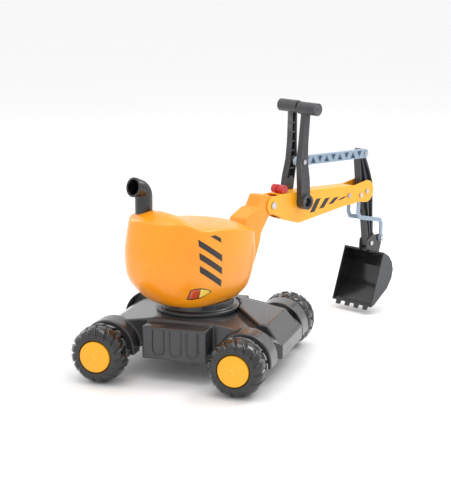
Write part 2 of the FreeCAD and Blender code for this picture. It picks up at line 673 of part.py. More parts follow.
def lever(label, turned_round):
    """A ribbed lever with a cross grip; drawn for the right-hand side about its own hub."""
    body = new_body(label)
    low, high = lever_bounds()
    rear = [("-15", "0"), ("-18", "0.24"), ("-20", "0.43"), ("-14", "0.62"), ("-4", "1")]
    front = [("12", "1"), ("5", "0.62"), ("5", "0.43"), ("12", "0.24"), ("15", "0")]
    outline = [(x, f"{z}*lever_height") for x, z in rear + front]
    plate(body, outline, low, high)
    disc(body, ("0", "0"), "lever_boss_radius", f"{low}-lever_boss_height", high)
    shelled = [(f"{x}+lever_shell", f"0.93*{z}*lever_height") for x, z in rear[1:]]
    shelled += [(f"{x}-lever_shell", f"0.93*{z}*lever_height") for x, z in front[:-1]]
    recess(body, shelled, f"{low}+lever_shell", high)
    for place in (("0.5*crank_x-1", "0.5*crank_z"), ("crank_x", "crank_z")):
        disc(body, place, "pin_radius+lever_shell", low, high)
    for share, x in (("0.33", "-17"), ("0.52", "-15"), ("0.62", "-12"), ("0.72", "-9"),
                     ("0.82", "-7")):
        rib = [(x, f"{share}*lever_height"), (f"{x}+17", f"{share}*lever_height-1.5"),
               (f"{x}+17", f"{share}*lever_height+1.5"), (x, f"{share}*lever_height+lever_shell")]
        plate(body, rib, f"{low}+0.5*lever_shell", f"{high}-2")
    hub = ("4", "lever_height")
    disc(body, hub, "grip_radius", "-(grip_inner_end+grip_length)", "-grip_inner_end")
    bore(body, hub, "grip_bore_radius", "-(grip_inner_end+grip_bore_depth)", "-grip_inner_end")
    bore(body, ("0", "0"), "lever_recess_radius", f"{low}-lever_boss_height",
         f"{low}-lever_boss_height+lever_recess_depth")
    bore(body, ("0", "0"), "main_pin_radius+pin_fit", f"{low}", high)
    bore(body, ("crank_x", "crank_z"), "pin_radius", low, high)
    if turned_round:
        tilt = Rotation(Y, mm["lift_lever_tilt"])
        body.Placement = Placement(Vector(0, 0, 0), tilt.multiply(Rotation(Z, 180)))
    pivot(body, "lever_x", "lever_z")
    return keep(body, label)


lever("dig_lever", False)
lever("lift_lever", True)
lever_axle_half = ("boom_half_width+lever_gap+lever_thickness+lever_boss_height"
                   "-lever_recess_depth")
headed_pin("lever_axle", "main_pin_radius", lever_axle_half, ("lever_x", "lever_z"),
           "head_radius+1")


# ---- link between the dig lever and the dipper ----

LINK_REACH = "(dipper_x-lever_x)"
LINK_DROP = "(dipper_z-lever_z)"


def link_bounds():
    outer = "(boom_half_width+lever_gap-link_gap)"
    return f"-{outer}", f"-{outer}+link_thickness"


def upper_link():
    """A latticed bar with an eye at each end."""
    body = new_body("upper_link")
    low, high = link_bounds()
    half = "link_half_depth"
    plate(body, [("0", f"-{half}"), (LINK_REACH, f"{LINK_DROP}-{half}"),
                 (LINK_REACH, f"{LINK_DROP}+{half}"), ("0", half)], low, high)
    for place in (("0", "0"), (LINK_REACH, LINK_DROP)):
        disc(body, place, half, low, high)
    cells = 9
    for index in range(cells):
        left = (index + 0.5) / (cells + 1)
        right = (index + 1.5) / (cells + 1)
        middle = (left + right) / 2
        up = 1 if index % 2 else -1
        base = f"{-up}*({half}-link_rib)"
        peak = f"{up}*({half}-link_rib)"
        corners = [
            (f"{left}*{LINK_REACH}+link_rib", f"{left}*{LINK_DROP}+{base}"),
            (f"{right}*{LINK_REACH}-link_rib", f"{right}*{LINK_DROP}+{base}"),
            (f"{middle}*{LINK_REACH}", f"{middle}*{LINK_DROP}+{peak}")]
        recess(body, corners, low, f"{high}-link_web")
    for place in (("0", "0"), (LINK_REACH, LINK_DROP)):
        bore(body, place, "pin_radius+pin_fit", low, high)
    pivot(body, "lever_x+crank_x", "lever_z+crank_z")
    return keep(body, "upper_link")


upper_link()


def screw(label, low, high, place, head_at_low):
    """A headed screw along y between two y values; the head is outside one end."""
    shank = doc.addObject("Part::Cylinder", label + "_shank")
    head = doc.addObject("Part::Cylinder", label + "_head")
    for item, radius, length, start in (
            (shank, "pin_radius", f"({high})-({low})", low),
            (head, "head_radius", "head_height", f"({low})-head_height" if head_at_low else high)):
        item.setExpression("Radius", bound(radius))
        item.setExpression("Height", bound(length))
        item.Placement = Placement(Vector(0, 0, 0), Rotation(Vector(1, 0, 0), -90))
        item.setExpression("Placement.Base.y", bound(start))
    joined = doc.addObject("Part::Fuse", label)
    joined.Base = shank
    joined.Tool = head
    joined.setExpression("Placement.Base.x", bound(place[0]))
    joined.setExpression("Placement.Base.z", bound(place[1]))
    return keep(joined, label)


lever_low, lever_high = lever_bounds()
link_low, link_high = link_bounds()
screw("link_rear_screw", lever_low, link_high, ("lever_x+crank_x", "lever_z+crank_z"), True)
screw("link_front_screw", link_low, "dipper_half_width",
      ("dipper_x+crank_x", "dipper_z+crank_z"), True)


# ---- dipper ----

def dipper_arm():
    """An I-section arm with an eye for the link at its top and for the bucket at its foot."""
    body = new_body("dipper_arm")
    half = "dipper_half_width"
    rear = [("crank_x-link_half_depth", "crank_z"), ("-11", "29"), ("-11", "0"),
            ("bucket_pin_x-18", "0.6*bucket_pin_z"),
            ("bucket_pin_x-dipper_eye_radius", "bucket_pin_z")]
    front = [("bucket_pin_x+dipper_eye_radius", "bucket_pin_z"), ("40", "0.8*bucket_pin_z"),
             ("38", "-28"), ("36", "14"), ("26", "42"), ("crank_x+link_half_depth", "crank_z")]
    plate(body, rear + front, f"-{half}", half)
    disc(body, ("crank_x", "crank_z"), "link_half_depth", f"-{half}", half)
    disc(body, ("bucket_pin_x", "bucket_pin_z"), "dipper_eye_radius", f"-{half}", half)
    upper = [("crank_x-link_half_depth+dipper_rib+1", "crank_z-15"), ("-11+dipper_rib", "29"),
             ("-11+dipper_rib", "16"), ("36-dipper_rib", "16"), ("26-dipper_rib", "40"),
             ("crank_x+link_half_depth", "crank_z-15")]
    lower = [("-10+dipper_rib", "-16"), ("bucket_pin_x-18+dipper_rib", "0.6*bucket_pin_z"),
             ("bucket_pin_x-dipper_eye_radius+dipper_rib", "bucket_pin_z+18"),
             ("bucket_pin_x+dipper_eye_radius-dipper_rib", "bucket_pin_z+18"),
             ("39-dipper_rib", "0.7*bucket_pin_z"), ("38-dipper_rib", "-16")]
    for side in (1, -1):
        layer = span(side, "dipper_web/2", half)
        recess(body, upper, *layer)
        recess(body, lower, *layer)
        plate(body, [("14", "-17"), ("18", "-17"), ("bucket_pin_x+2", "bucket_pin_z+17"),
                     ("bucket_pin_x-2", "bucket_pin_z+17")], *span(side, "0", half))
        plate(body, [("10", "15"), ("14", "15"), ("crank_x+4", "crank_z-14"),
                     ("crank_x", "crank_z-14")], *span(side, "0", half))
    bore(body, ("crank_x", "crank_z"), "pin_radius", f"-{half}", half)
    bore(body, ("0", "0"), "pin_radius+pin_fit", f"-{half}", half)
    bore(body, ("bucket_pin_x", "bucket_pin_z"), "pin_radius", f"-{half}", half)
    pivot(body, "dipper_x", "dipper_z")
    return keep(body, "dipper_arm")


dipper_arm()


# ---- bucket, with its two ears ----

EAR_INNER = mm["dipper_half_width"] + mm["ear_gap"]
EAR_OUTER = EAR_INNER + mm["ear_thickness"]
MOUTH_TOP = Vector(-11, 0, -14)
MOUTH_FOOT = Vector(-57, 0, -142)
BUCKET_BACK = [(9, -26), (22, -43), (27, -62), (22, -83), (5, -106), (-23, -124), (-45, -138)]


def bucket_shell():
    half = mm["bucket_half_width"]
    wall = mm["bucket_wall"]
    back = [Vector(x, 0, z) for x, z in BUCKET_BACK]
    outer = Part.Face(Part.makePolygon([MOUTH_TOP] + back + [MOUTH_FOOT, MOUTH_TOP]))
    cavity = outer.makeOffset2D(-wall, join=2)
    outer.translate(-Y * half)
    block = outer.extrude(Y * 2 * half)
    mouth = (MOUTH_TOP - MOUTH_FOOT).normalize()
    outward = Vector(-mouth.z, 0, mouth.x)
    cavity.translate(-Y * (half - wall))
    cavity = cavity.extrude(Y * 2 * (half - wall))
    low = MOUTH_FOOT + mouth * wall * 1.6
    high = MOUTH_TOP - mouth * wall * 1.6
    opening = [low - outward * 2 * wall, high - outward * 2 * wall, high + outward * 4, low + outward * 4]
    opening = prism([point - Y * (half - wall) for point in opening], Y, 2 * (half - wall))
    ears = []
    for side in (1, -1):
        y = side * EAR_INNER if side > 0 else -EAR_OUTER
        outline = [(-17, -17), (-15, 10), (2, 19), (mm["ear_span_x"], mm["ear_span_z"] + 9),
                   (mm["ear_span_x"] + 8, mm["ear_span_z"]), (mm["ear_span_x"] + 5, -8), (24, -50)]
        ears.append(prism([Vector(x, y, z) for x, z in outline], Y, mm["ear_thickness"]))
    solid = block.multiFuse(ears).cut(cavity.fuse(opening))
    teeth = []
    for number in range(4):
        y = (number - 1.5) * 2 * half / 4.4 - mm["tooth_width"] / 2
        outline = [MOUTH_FOOT + mouth * 4, MOUTH_FOOT + mouth * 4 - outward * 8,
                   MOUTH_FOOT - mouth * mm["tooth_length"] - outward * 3,
                   MOUTH_FOOT - mouth * mm["tooth_length"]]
        tooth = prism([point + Y * y for point in outline], Y, mm["tooth_width"])
        teeth.append(tooth)
    holes = []
    for x, z, radius in ((0, 0, mm["pin_radius"] + mm["pin_fit"]),
                         (mm["ear_span_x"], mm["ear_span_z"], mm["pin_radius"])):
        holes.append(cylinder_along(Y, radius, Vector(x, -half, z), 2 * half))
    return solid.multiFuse(teeth).cut(holes[0].fuse(holes[1]))


BUCKET_X = mm["dipper_x"] + mm["bucket_pin_x"]
BUCKET_Z = mm["dipper_z"] + mm["bucket_pin_z"]
feature("bucket_shell", bucket_shell(), Placement(Vector(BUCKET_X, 0, BUCKET_Z), Rotation()))

ear_outer = "dipper_half_width+ear_gap+ear_thickness"
headed_pin("bucket_pin", "pin_radius", ear_outer,
           ("dipper_x+bucket_pin_x", "dipper_z+bucket_pin_z"), "head_radius")
headed_pin("rod_lower_pin", "pin_radius", f"{ear_outer}+rod_gap+rod_thickness+rod_gap",
           ("dipper_x+bucket_pin_x+ear_span_x", "dipper_z+bucket_pin_z+ear_span_z"), "head_radius")


# ---- bucket rods ----

def bucket_rod(label, side):
    """A flat cranked rod that passes round the dipper; drawn about its upper pin."""
    inner = EAR_OUTER + mm["rod_gap"]
    y = inner if side > 0 else -inner - mm["rod_thickness"]
    half = mm["rod_half_width"]
    foot_x = mm["bucket_pin_x"] + mm["ear_span_x"] - mm["rod_pin_x"]
    foot_z = mm["bucket_pin_z"] + mm["ear_span_z"] - mm["rod_pin_z"]
    route = [(0, 0), (-3, 0.36 * foot_z), (4, 0.47 * foot_z), (foot_x - 6, 0.62 * foot_z),
             (foot_x, 0.70 * foot_z), (foot_x, foot_z)]
    parts = []
    for (x1, z1), (x2, z2) in zip(route, route[1:]):
        along = Vector(x2 - x1, 0, z2 - z1).normalize()
        across = Vector(-along.z, 0, along.x) * half
        start = Vector(x1, y, z1)
        end = Vector(x2, y, z2)
        parts.append(prism([start + across, end + across, end - across, start - across],
                           Y, mm["rod_thickness"]))
    eyes = []
    for x, z in route:
        eyes.append(cylinder_along(Y, half, Vector(x, y, z), mm["rod_thickness"]))
    for (x, z), slack in ((route[0], 0), (route[-1], mm["rod_slack"])):
        eye_radius = mm["pin_radius"] + slack + mm["rod_eye_wall"]
        eyes.append(cylinder_along(Y, eye_radius, Vector(x, y, z), mm["rod_thickness"]))
    holes = [
        cylinder_along(Y, mm["pin_radius"] + mm["pin_fit"], Vector(0, y, 0), mm["rod_thickness"]),
        cylinder_along(Y, mm["pin_radius"] + mm["rod_slack"], Vector(foot_x, y, foot_z),
                       mm["rod_thickness"])]
    solid = parts[0].multiFuse(parts[1:] + eyes).cut(holes[0].fuse(holes[1]))
    place = Vector(mm["dipper_x"] + mm["rod_pin_x"], 0, mm["dipper_z"] + mm["rod_pin_z"])
    return feature(label, solid, Placement(place, Rotation()))


bucket_rod("bucket_rod_left", 1)
bucket_rod("bucket_rod_right", -1)


# ---- lock knob ----

def lock_knob():
    """A barrel grip across a square stem that drops through the top of the boom."""
    length = mm["knob_length"]
    radius = mm["knob_radius"]
    boom_top = mm["knee_z"] + 0.28 * mm["boom_depth"]
    centre = boom_top + mm["knob_rest"] + 0.6 * radius
    barrel = cylinder_along(Y, radius, Vector(0, -length / 2, centre), length)
    waist = cylinder_along(Y, radius + 5, Vector(0, -3, centre), 6)
    groove = waist.cut(cylinder_along(Y, radius - 2, Vector(0, -3, centre), 6))
    stem_half = mm["knob_stem"]
    stem = box_between((-stem_half, -stem_half, centre - mm["knob_stem_length"]),
                       (stem_half, stem_half, centre))
    flat = box_between((-30, -30, boom_top - 30), (30, 30, boom_top + mm["knob_rest"]))
    grip = barrel.cut(groove).cut(flat)
    return grip.fuse(stem)


feature("lock_knob", lock_knob(), Placement(Vector(mm["knob_x"], 0, 0), Rotation()))


# ---- check and export ----

doc.recompute()
failed = [item.Label for item in doc.Objects if {"Invalid", "Error"} & set(item.State)]
if failed:
    raise RuntimeError(f"features failed: {failed}")
os.makedirs("parts", exist_ok=True)
for piece in pieces:
    if piece.Shape.isNull() or not piece.Shape.isValid() or not piece.Shape.Solids:
        raise RuntimeError(f"{piece.Label} has no valid solid")
    piece.Shape.exportStep(os.path.join("parts", piece.Label + ".step"))
    print(f"{piece.Label:24s} solids {len(piece.Shape.Solids)} volume {piece.Shape.Volume:.0f}")
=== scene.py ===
"""Looks of a child's ride-on digger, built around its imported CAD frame.

Metres, Z up. +X is the way the arm points and +Y the rider's left.
"""
import math

import bmesh
import bpy
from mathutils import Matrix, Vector
from mathutils.bvhtree import BVHTree


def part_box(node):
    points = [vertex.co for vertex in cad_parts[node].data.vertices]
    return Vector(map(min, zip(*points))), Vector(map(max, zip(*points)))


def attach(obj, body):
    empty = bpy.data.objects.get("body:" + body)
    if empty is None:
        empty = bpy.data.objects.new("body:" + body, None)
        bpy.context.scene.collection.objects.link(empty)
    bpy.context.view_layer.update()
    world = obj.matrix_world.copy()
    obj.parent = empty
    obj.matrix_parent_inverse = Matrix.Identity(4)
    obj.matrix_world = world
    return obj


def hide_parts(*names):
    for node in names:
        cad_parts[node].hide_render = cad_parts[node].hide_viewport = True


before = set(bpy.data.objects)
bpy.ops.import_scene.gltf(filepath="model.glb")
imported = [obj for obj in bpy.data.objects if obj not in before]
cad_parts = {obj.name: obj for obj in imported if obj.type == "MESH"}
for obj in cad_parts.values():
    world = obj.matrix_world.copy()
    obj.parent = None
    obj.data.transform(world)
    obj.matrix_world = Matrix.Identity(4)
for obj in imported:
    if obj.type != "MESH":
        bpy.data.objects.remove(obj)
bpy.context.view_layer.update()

def middle(node):
    low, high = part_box(node)
    return (Vector(low) + Vector(high)) / 2


def size_of(node):
    low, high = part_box(node)
    return Vector(high) - Vector(low)


# ---- materials ----

def link(tree, source, target):
    tree.links.new(source, target)


def noise_node(tree, coords, scale, detail=3.0, roughness=0.55):
    node = tree.nodes.new("ShaderNodeTexNoise")
    node.inputs["Scale"].default_value = scale
    node.inputs["Detail"].default_value = detail
    node.inputs["Roughness"].default_value = roughness
    link(tree, coords, node.inputs["Vector"])
    return node.outputs["Fac"]


def mapped(tree, value, from_low, from_high, to_low, to_high):
    node = tree.nodes.new("ShaderNodeMapRange")
    node.inputs["From Min"].default_value = from_low
    node.inputs["From Max"].default_value = from_high
    node.inputs["To Min"].default_value = to_low
    node.inputs["To Max"].default_value = to_high
    link(tree, value, node.inputs["Value"])
    return node.outputs["Result"]


def maths(tree, operation, first, second):
    node = tree.nodes.new("ShaderNodeMath")
    node.operation = operation
    for socket, value in zip(node.inputs, (first, second)):
        if isinstance(value, (int, float)):
            socket.default_value = value
        else:
            link(tree, value, socket)
    return node.outputs[0]


def mixed(tree, factor, first, second):
    node = tree.nodes.new("ShaderNodeMix")
    node.data_type = "RGBA"
    link(tree, factor, node.inputs["Factor"])
    for socket, value in ((node.inputs[6], first), (node.inputs[7], second)):
        if isinstance(value, tuple):
            socket.default_value = (*value, 1.0)
        else:
            link(tree, value, socket)
    return node.outputs[2]


def plastic(name, colour, shade, worn, roughness=0.3, spread=0.1, grain=0.12, wave=0.1,
            dust=0.05, coat=0.0, metal=0.0):
    """Moulded plastic: colour drifting to a shade, rubbed edges, fine grain, dust on top."""
    material = bpy.data.materials.new(name)
    material.use_nodes = True
    tree = material.node_tree
    shader = tree.nodes["Principled BSDF"]
    coords = tree.nodes.new("ShaderNodeTexCoord").outputs["Object"]
    geometry = tree.nodes.new("ShaderNodeNewGeometry")
    broad = noise_node(tree, coords, 7.0, 4.0)
    mottle = noise_node(tree, coords, 60.0, 4.0, 0.65)
    fine = noise_node(tree, coords, 900.0, 2.0)
    drift = maths(tree, "ADD", mapped(tree, broad, 0.35, 0.65, 0.0, 0.7),
                  mapped(tree, mottle, 0.3, 0.7, 0.0, 0.3))
    tint = mixed(tree, drift, colour, shade)
    edge = maths(tree, "MULTIPLY", mapped(tree, geometry.outputs["Pointiness"], 0.52, 0.6, 0.0, 0.7),
                 mapped(tree, mottle, 0.4, 0.6, 0.2, 1.0))
    tint = mixed(tree, edge, tint, worn)
    upward = tree.nodes.new("ShaderNodeSeparateXYZ")
    link(tree, geometry.outputs["Normal"], upward.inputs[0])
    film = maths(tree, "MULTIPLY", mapped(tree, upward.outputs["Z"], 0.3, 1.0, 0.0, dust),
                 mapped(tree, mottle, 0.35, 0.65, 0.3, 1.0))
    tint = mixed(tree, film, tint, (0.55, 0.5, 0.44))
    link(tree, tint, shader.inputs["Base Color"])
    rough = mapped(tree, maths(tree, "ADD", mottle, broad), 0.7, 1.3,
                   max(0.03, roughness - spread), roughness + spread)
    link(tree, rough, shader.inputs["Roughness"])
    bump = tree.nodes.new("ShaderNodeBump")
    bump.inputs["Strength"].default_value = grain
    bump.inputs["Distance"].default_value = 0.0006
    link(tree, fine, bump.inputs["Height"])
    ripple = tree.nodes.new("ShaderNodeBump")
    ripple.inputs["Strength"].default_value = wave
    ripple.inputs["Distance"].default_value = 0.003
    link(tree, noise_node(tree, coords, 24.0, 2.0), ripple.inputs["Height"])
    link(tree, bump.outputs["Normal"], ripple.inputs["Normal"])
    link(tree, ripple.outputs["Normal"], shader.inputs["Normal"])
    shader.inputs["Metallic"].default_value = metal
    shader.inputs["Coat Weight"].default_value = coat
    shader.inputs["Coat Roughness"].default_value = 0.08
    return material


YELLOW = plastic("yellow_moulding", (1.0, 0.355, 0.003), (0.96, 0.29, 0.002), (1.0, 0.52, 0.05),
                 roughness=0.33, spread=0.06, grain=0.04, wave=0.05, dust=0.0, coat=0.2)
BOOM_YELLOW = plastic("boom_yellow", (1.0, 0.455, 0.008), (0.97, 0.39, 0.005), (1.0, 0.62, 0.08),
                      roughness=0.32, spread=0.06, grain=0.04, wave=0.04, dust=0.0, coat=0.2)
CAP_YELLOW = plastic("cap_yellow", (1.0, 0.47, 0.008), (0.98, 0.42, 0.006), (1.0, 0.62, 0.08),
                     roughness=0.36, spread=0.06, grain=0.05, wave=0.04, dust=0.0, coat=0.1)
ANTHRACITE = plastic("anthracite_moulding", (0.042, 0.043, 0.047), (0.03, 0.031, 0.035),
                     (0.1, 0.1, 0.105), roughness=0.24, spread=0.05, grain=0.03, wave=0.05,
                     dust=0.01, coat=0.35)
LEVER_GREY = plastic("lever_grey", (0.045, 0.048, 0.054), (0.032, 0.034, 0.039),
                     (0.13, 0.135, 0.145), roughness=0.4, spread=0.07, grain=0.14, wave=0.05,
                     dust=0.03)
TYRE_BLACK = plastic("tyre_black", (0.006, 0.006, 0.007), (0.011, 0.011, 0.012),
                     (0.05, 0.05, 0.052), roughness=0.17, spread=0.07, grain=0.05, wave=0.1,
                     dust=0.02, coat=0.4)
GLOSS_BLACK = plastic("gloss_black", (0.009, 0.009, 0.01), (0.015, 0.015, 0.017),
                      (0.06, 0.06, 0.065), roughness=0.22, spread=0.07, grain=0.07, wave=0.08,
                      dust=0.02, coat=0.3)
BLUE_GREY = plastic("blue_grey_moulding", (0.3, 0.39, 0.49), (0.25, 0.335, 0.43),
                    (0.5, 0.58, 0.66), roughness=0.38, spread=0.07, grain=0.1, wave=0.05,
                    dust=0.02)
RED = plastic("red_moulding", (0.6, 0.008, 0.012), (0.45, 0.005, 0.008), (0.8, 0.08, 0.07),
              roughness=0.28, spread=0.06, grain=0.06, wave=0.05, dust=0.02, coat=0.3)
ZINC = plastic("zinc_plate", (0.46, 0.46, 0.48), (0.34, 0.34, 0.36), (0.7, 0.7, 0.72),
               roughness=0.3, spread=0.1, grain=0.2, wave=0.05, dust=0.0, metal=1.0)
INK_BLACK = plastic("decal_black", (0.012, 0.011, 0.011), (0.02, 0.018, 0.016), (0.08, 0.05, 0.02),
                    roughness=0.42, spread=0.08, grain=0.04, wave=0.02, dust=0.02)
INK_RED = plastic("decal_red", (0.62, 0.035, 0.01), (0.5, 0.025, 0.008), (0.8, 0.2, 0.05),
                  roughness=0.4, spread=0.08, grain=0.04, wave=0.02, dust=0.0)
INK_LEMON = plastic("decal_lemon", (0.95, 0.66, 0.08), (0.9, 0.58, 0.05), (1.0, 0.8, 0.2),
                    roughness=0.4, spread=0.08, grain=0.04, wave=0.02, dust=0.0)


# ---- mesh tools ----

def new_piece(name, mesh, body, material):
    piece = bpy.data.objects.new(name, mesh)
    bpy.context.scene.collection.objects.link(piece)
    mesh.materials.clear()
    mesh.materials.append(material)
    for face in mesh.polygons:
        face.use_smooth = True
    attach(piece, body)
    return piece


def mesh_from(name, points, faces):
    mesh = bpy.data.meshes.new(name)
    mesh.from_pydata(points, [], faces)
    mesh.update()
    work = bmesh.new()
    work.from_mesh(mesh)
    bmesh.ops.remove_doubles(work, verts=work.verts, dist=1e-6)
    bmesh.ops.recalc_face_normals(work, faces=work.faces)
    work.to_mesh(mesh)
    work.free()
    return mesh


def applied(piece):
    """Make the piece's modifiers part of its mesh."""
    depsgraph = bpy.context.evaluated_depsgraph_get()
    mesh = bpy.data.meshes.new_from_object(piece.evaluated_get(depsgraph))
    piece.modifiers.clear()
    piece.data = mesh
    return mesh


def cleaned_copy(name, node):
    """The node's mesh with its flat faces joined up again."""
    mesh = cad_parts[node].data.copy()
    mesh.name = name
    work = bmesh.new()
    work.from_mesh(mesh)
    bmesh.ops.remove_doubles(work, verts=work.verts, dist=2e-6)
    bmesh.ops.dissolve_limit(work, angle_limit=math.radians(0.6), verts=work.verts,
                             edges=work.edges)
    work.to_mesh(mesh)
    work.free()
    return mesh


def rounded(node, body, material, width, segments=3, wide=None, wide_width=0.0):
    """A copy of a CAD node whose sharp edges are rounded off; wide() picks the softer ones."""
    mesh = cleaned_copy(node + "_moulding", node)
    piece = new_piece(node + "_moulding", mesh, body, material)
    largest = max(width, wide_width)
    work = bmesh.new()
    work.from_mesh(mesh)
    weights = work.edges.layers.float.new("bevel_weight_edge")
    for edge in work.edges:
        if len(edge.link_faces) == 2 and edge.calc_face_angle(0.0) > math.radians(24):
            centre = (edge.verts[0].co + edge.verts[1].co) / 2
            chosen = wide_width if wide and wide(centre) else width
            edge[weights] = chosen / largest
    work.to_mesh(mesh)
    work.free()
    bevel = piece.modifiers.new("rounding", "BEVEL")
    bevel.limit_method = "WEIGHT"
    bevel.width = largest
    bevel.segments = segments
    bevel.use_clamp_overlap = True
    bevel.harden_normals = False
    normals = piece.modifiers.new("normals", "WEIGHTED_NORMAL")
    normals.weight = 80
    normals.keep_sharp = False
    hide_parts(node)
    return piece


def remoulded(node, body, material, voxel, rounds):
    """A copy of a CAD node melted into a soft blow-moulded skin."""
    mesh = cleaned_copy(node + "_moulding", node)
    piece = new_piece(node + "_moulding", mesh, body, material)
    remesh = piece.modifiers.new("skin", "REMESH")
    remesh.mode = "VOXEL"
    remesh.voxel_size = voxel
    remesh.use_smooth_shade = True
    soften = piece.modifiers.new("soften", "SMOOTH")
    soften.factor = 0.5
    soften.iterations = rounds
    mesh = applied(piece)
    mesh.materials.clear()
    mesh.materials.append(material)
    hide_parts(node)
    return piece


def ring_faces(rings, columns):
    """Quads between rows of points; each row is a closed ring."""
    faces = []
    for row in range(rings - 1):
        for column in range(columns):
            following = (column + 1) % columns
            upper = row + 1
            faces.append((row * columns + column, row * columns + following,
                          upper * columns + following, upper * columns + column))
    return faces


def smoothstep(low, high, value):
    share = min(1.0, max(0.0, (value - low) / (high - low)))
    return share * share * (3 - 2 * share)


def between(table, value, column):
    """A smooth curve through a table whose first column rises."""
    count = len(table)
    if value <= table[0][0]:
        return table[0][column]
    for index in range(count - 1):
        low, high = table[index], table[index + 1]
        if value <= high[0]:
            before = table[max(0, index - 1)]
            after = table[min(count - 1, index + 2)]
            share = (value - low[0]) / (high[0] - low[0])
            start = (high[column] - before[column]) / (high[0] - before[0]) * (high[0] - low[0])
            end = (after[column] - low[column]) / (after[0] - low[0]) * (high[0] - low[0])
            square, cube = share * share, share ** 3
            return ((2 * cube - 3 * square + 1) * low[column] + (cube - 2 * square + share) * start
                    + (3 * square - 2 * cube) * high[column] + (cube - square) * end)
    return table[-1][column]


# ---- wheels: blow-moulded tyres with two staggered rows of lugs ----

WHEELS = ("front_right", "front_left", "rear_right", "rear_left")
centres = {name: middle("wheel_" + name) for name in WHEELS}
roll_axis = (centres["front_left"] - centres["front_right"]).normalized()
forward = (centres["front_left"] - centres["rear_left"]).normalized()
TYRE_RADIUS = size_of("wheel_front_right").z / 2
HALF_WIDTH = 0.033
CARCASS_RADIUS = 0.0556
SEAT_RADIUS = 0.0325
LUGS = 16
COLUMNS = LUGS * 22

TYRE_PROFILE = [(0.0345, 0.0305), (0.0365, 0.0322), (0.0405, 0.0318), (0.0455, 0.0292),
                (0.0503, 0.0243), (0.0537, 0.0175), (0.0553, 0.009), (CARCASS_RADIUS, 0.0)]


def tyre_profile():
    """The carcass outline from cap seat to crown and back, evenly spaced, as (radius, along)."""
    half = TYRE_PROFILE
    outline = half + [(radius, -along) for radius, along in reversed(half[:-1])]
    lengths = [0.0]
    for (r0, a0), (r1, a1) in zip(outline, outline[1:]):
        lengths.append(lengths[-1] + math.hypot(r1 - r0, a1 - a0))
    table = [(length, radius, along) for length, (radius, along) in zip(lengths, outline)]
    count = 84
    rows = []
    for step in range(count + 1):
        place = lengths[-1] * step / count
        rows.append((between(table, place, 1), between(table, place, 2), place / lengths[-1]))
    return rows


def lug_height(turn, share):
    """Height of the tread, 0 to 1, at a share of a turn and a share of the way across."""
    across = share if share < 0.5 else 1 - share
    phase = 0.0 if share < 0.5 else 0.5
    lean = 0.3 * (across - 0.3) / 0.2
    place = (turn * LUGS + phase + lean) % 1.0
    along = abs(place - 0.5) * 2
    block = 1 - smoothstep(0.66, 0.92, along)
    shoulder = smoothstep(0.07, 0.15, across)
    centre = 1 - smoothstep(0.452, 0.492, across)
    return block * shoulder * centre


def tyre_mesh(name, centre, outward):
    side = outward
    up = Vector((0, 0, 1))
    ahead = side.cross(up)
    rows = tyre_profile()
    points = []
    for radius, along, share in rows:
        crown = smoothstep(0.15, 0.26, min(share, 1 - share))
        for column in range(COLUMNS):
            turn = column / COLUMNS
            height = lug_height(turn, share)
            lift = height * (TYRE_RADIUS - CARCASS_RADIUS) * (0.45 + 0.55 * crown)
            spread = height * 0.0024 * (1 - crown)
            grown = radius + lift
            shifted = along + math.copysign(spread, along)
            angle = 2 * math.pi * turn
            points.append(centre + side * shifted
                          + (ahead * math.cos(angle) + up * math.sin(angle)) * grown)
    rings = len(rows)
    faces = ring_faces(rings, COLUMNS)
    inner = len(points)
    for along in (-HALF_WIDTH + 0.004, HALF_WIDTH - 0.004):
        for column in range(COLUMNS):
            angle = 2 * math.pi * column / COLUMNS
            points.append(centre + side * along
                          + (ahead * math.cos(angle) + up * math.sin(angle)) * SEAT_RADIUS)
    for column in range(COLUMNS):
        following = (column + 1) % COLUMNS
        first, second = inner, inner + COLUMNS
        last = (rings - 1) * COLUMNS
        faces.append((first + column, first + following, second + following, second + column))
        faces.append((second + column, second + following, following, column))
        faces.append((last + column, last + following, first + following, first + column))
    return mesh_from(name, points, faces)


def turned_mesh(name, profile, origin, axis, columns=96):
    """A closed profile of (radius, along) pairs turned about an axis."""
    up = Vector((0, 0, 1)) if abs(axis.z) < 0.9 else Vector((1, 0, 0))
    across = axis.cross(up).normalized()
    second = axis.cross(across).normalized()
    points = []
    for radius, along in profile:
        for column in range(columns):
            angle = 2 * math.pi * column / columns
            points.append(origin + axis * along
                          + (across * math.cos(angle) + second * math.sin(angle)) * radius)
    return mesh_from(name, points, ring_faces(len(profile), columns))


def eased(corners, radius=0.0008, steps=4):
    """A profile whose inner corners are rounded; its two ends stay."""
    result = [corners[0]]
    for before, corner, after in zip(corners, corners[1:], corners[2:]):
        here = Vector((*corner, 0))
        back = Vector((*before, 0)) - here
        on = Vector((*after, 0)) - here
        reach = min(radius, back.length * 0.45, on.length * 0.45)
        start = here + back.normalized() * reach
        end = here + on.normalized() * reach
        for step in range(steps + 1):
            share = step / steps
            point = start * (1 - share) ** 2 + here * 2 * share * (1 - share) + end * share ** 2
            result.append((point.x, point.y))
    result.append(corners[-1])
    return result


CAP_PROFILE = eased([(0.00001, 0.0352), (0.0075, 0.0351), (0.009, 0.0344), (0.0105, 0.0351),
                     (0.0245, 0.0345), (0.0272, 0.0334), (0.0296, 0.0340), (0.0319, 0.0333),
                     (0.0328, 0.0312), (0.0328, 0.0262), (0.0305, 0.0262), (0.0305, 0.0306),
                     (0.00001, 0.0318)])

for name in WHEELS:
    body = "wheel_" + name
    outward = roll_axis if name.endswith("left") else -roll_axis
    tyre = new_piece("tyre_" + name, tyre_mesh("tyre_" + name, centres[name], outward), body,
                     TYRE_BLACK)
    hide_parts("wheel_" + name)
    cap = new_piece("cap_" + name,
                    turned_mesh("cap_" + name, CAP_PROFILE, centres[name], outward), body, CAP_YELLOW)
    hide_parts("hub_cap_" + name)


